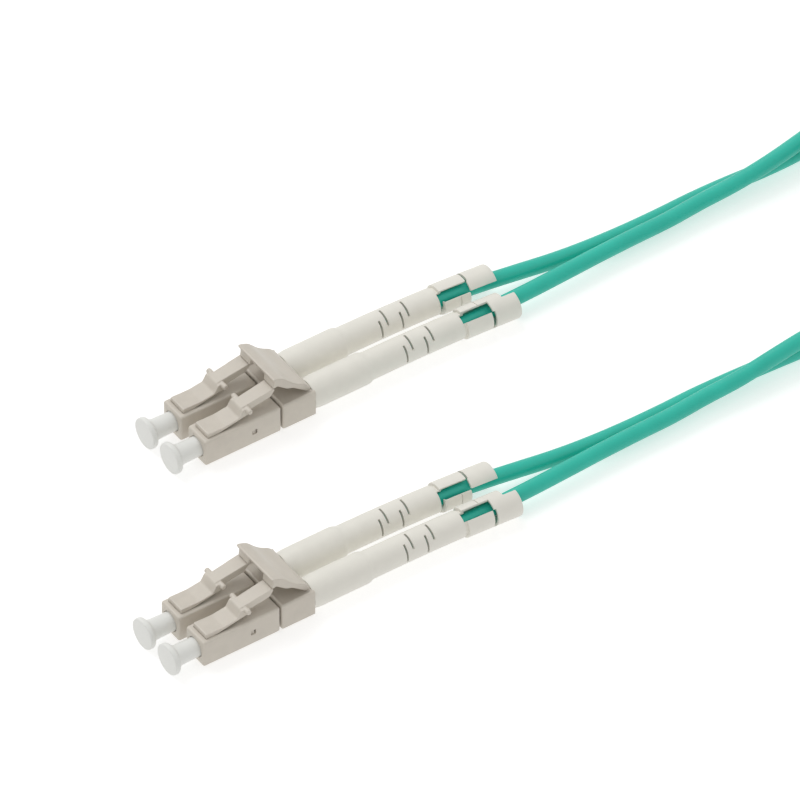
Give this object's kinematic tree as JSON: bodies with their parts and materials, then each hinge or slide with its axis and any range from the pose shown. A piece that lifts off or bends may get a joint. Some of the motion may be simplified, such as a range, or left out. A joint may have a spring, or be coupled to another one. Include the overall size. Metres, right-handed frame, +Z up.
{
  "type": "fiber optic patch cord",
  "caption": "Duplex fibre optic patch cord with capped square latch plugs in clips, slotted boots, and twin cord wound in a coil.",
  "frame": {"origin": "on the surface that the plugs lie on, under the middle of the box round both ends' plugs and boots, the cord left out", "axes": "+X runs along the plugs from their front faces towards the cord and the coil, +Y from an end's near plug to its far plug, +Z up, on the latches' side"},
  "size_m": [0.199, 0.057, 0.0109],
  "materials": {
    "plug_moulding": "satin moulded thermoplastic",
    "clip_moulding": "satin moulded thermoplastic",
    "cap_plastic": "moulded polyethylene",
    "boot_rubber": "moulded flexible boot",
    "ferrule_ceramic": "polished ceramic",
    "holder_nickel": "turned nickel-plated metal",
    "spring_steel": "drawn spring wire",
    "rear_body_moulding": "moulded thermoplastic",
    "crimp_metal": "drawn soft metal tube",
    "fibre_buffer": "extruded tight buffer",
    "cord_jacket": "extruded soft jacket"
  },
  "bodies": {
    "root": {"duplex_clip_a": "clip_moulding", "housing_a_near": "plug_moulding", "rear_body_a_near": "rear_body_moulding", "crimp_sleeve_a_near": "crimp_metal", "boot_a_near": "boot_rubber", "buffered_fibre_a_near": "fibre_buffer", "spring_a_near": "spring_steel", "housing_a_far": "plug_moulding", "rear_body_a_far": "rear_body_moulding", "crimp_sleeve_a_far": "crimp_metal", "boot_a_far": "boot_rubber", "buffered_fibre_a_far": "fibre_buffer", "spring_a_far": "spring_steel", "duplex_clip_b": "clip_moulding", "housing_b_near": "plug_moulding", "rear_body_b_near": "rear_body_moulding", "crimp_sleeve_b_near": "crimp_metal", "boot_b_near": "boot_rubber", "buffered_fibre_b_near": "fibre_buffer", "spring_b_near": "spring_steel", "housing_b_far": "plug_moulding", "rear_body_b_far": "rear_body_moulding", "crimp_sleeve_b_far": "crimp_metal", "boot_b_far": "boot_rubber", "buffered_fibre_b_far": "fibre_buffer", "spring_b_far": "spring_steel", "near_cord_run_a": "cord_jacket", "near_cord_coil": "cord_jacket", "near_cord_run_b": "cord_jacket", "far_cord_run_a": "cord_jacket", "far_cord_coil": "cord_jacket", "far_cord_run_b": "cord_jacket"},
    "trigger_a": {"trigger_a": "clip_moulding"},
    "dust_cap_a_near": {"dust_cap_a_near": "cap_plastic"},
    "ferrule_a_near": {"ferrule_a_near": "ferrule_ceramic", "ferrule_holder_a_near": "holder_nickel"},
    "latch_a_near": {"latch_arm_a_near": "plug_moulding"},
    "dust_cap_a_far": {"dust_cap_a_far": "cap_plastic"},
    "ferrule_a_far": {"ferrule_a_far": "ferrule_ceramic", "ferrule_holder_a_far": "holder_nickel"},
    "latch_a_far": {"latch_arm_a_far": "plug_moulding"},
    "trigger_b": {"trigger_b": "clip_moulding"},
    "dust_cap_b_near": {"dust_cap_b_near": "cap_plastic"},
    "ferrule_b_near": {"ferrule_b_near": "ferrule_ceramic", "ferrule_holder_b_near": "holder_nickel"},
    "latch_b_near": {"latch_arm_b_near": "plug_moulding"},
    "dust_cap_b_far": {"dust_cap_b_far": "cap_plastic"},
    "ferrule_b_far": {"ferrule_b_far": "ferrule_ceramic", "ferrule_holder_b_far": "holder_nickel"},
    "latch_b_far": {"latch_arm_b_far": "plug_moulding"}
  },
  "joints": [
    {"name": "trigger_press_a", "type": "hinge", "parent": "root", "child": "trigger_a", "pos_m": [0.00492, 0.0169, 0.00505], "axis": [0, -1, 0], "range_deg": [0, 15.6], "stiffness_Nm_per_rad": 0.05},
    {"name": "cap_pull_a_near", "type": "slide", "parent": "root", "child": "dust_cap_a_near", "axis": [-1, 0, 0], "range_m": [0, 0.0075]},
    {"name": "ferrule_float_a_near", "type": "slide", "parent": "root", "child": "ferrule_a_near", "axis": [1, 0, 0], "range_m": [0, 0.0006], "stiffness_N_per_m": 500, "deforming": ["spring_a_near"]},
    {"name": "latch_flex_a_near", "type": "hinge", "parent": "root", "child": "latch_a_near", "pos_m": [-0.01098, 0.01378, 0.00485], "axis": [0, 1, 0], "range_deg": [0, 8]},
    {"name": "cap_pull_a_far", "type": "slide", "parent": "root", "child": "dust_cap_a_far", "axis": [-1, 0, 0], "range_m": [0, 0.0075]},
    {"name": "ferrule_float_a_far", "type": "slide", "parent": "root", "child": "ferrule_a_far", "axis": [1, 0, 0], "range_m": [0, 0.0006], "stiffness_N_per_m": 500, "deforming": ["spring_a_far"]},
    {"name": "latch_flex_a_far", "type": "hinge", "parent": "root", "child": "latch_a_far", "pos_m": [-0.01098, 0.02003, 0.00485], "axis": [0, 1, 0], "range_deg": [0, 8]},
    {"name": "trigger_press_b", "type": "hinge", "parent": "root", "child": "trigger_b", "pos_m": [-0.01828, -0.0169, 0.00505], "axis": [0, -1, 0], "range_deg": [0, 15.6], "stiffness_Nm_per_rad": 0.05},
    {"name": "cap_pull_b_near", "type": "slide", "parent": "root", "child": "dust_cap_b_near", "axis": [-1, 0, 0], "range_m": [0, 0.0075]},
    {"name": "ferrule_float_b_near", "type": "slide", "parent": "root", "child": "ferrule_b_near", "axis": [1, 0, 0], "range_m": [0, 0.0006], "stiffness_N_per_m": 500, "deforming": ["spring_b_near"]},
    {"name": "latch_flex_b_near", "type": "hinge", "parent": "root", "child": "latch_b_near", "pos_m": [-0.03418, -0.02003, 0.00485], "axis": [0, 1, 0], "range_deg": [0, 8]},
    {"name": "cap_pull_b_far", "type": "slide", "parent": "root", "child": "dust_cap_b_far", "axis": [-1, 0, 0], "range_m": [0, 0.0075]},
    {"name": "ferrule_float_b_far", "type": "slide", "parent": "root", "child": "ferrule_b_far", "axis": [1, 0, 0], "range_m": [0, 0.0006], "stiffness_N_per_m": 500, "deforming": ["spring_b_far"]},
    {"name": "latch_flex_b_far", "type": "hinge", "parent": "root", "child": "latch_b_far", "pos_m": [-0.03418, -0.01378, 0.00485], "axis": [0, 1, 0], "range_deg": [0, 8]}
  ],
  "couplings": [
    {"joint": "latch_flex_a_near", "follows": "trigger_press_a", "ratio": 0.51},
    {"joint": "latch_flex_a_far", "follows": "trigger_press_a", "ratio": 0.51},
    {"joint": "latch_flex_b_near", "follows": "trigger_press_b", "ratio": 0.51},
    {"joint": "latch_flex_b_far", "follows": "trigger_press_b", "ratio": 0.51}
  ]
}
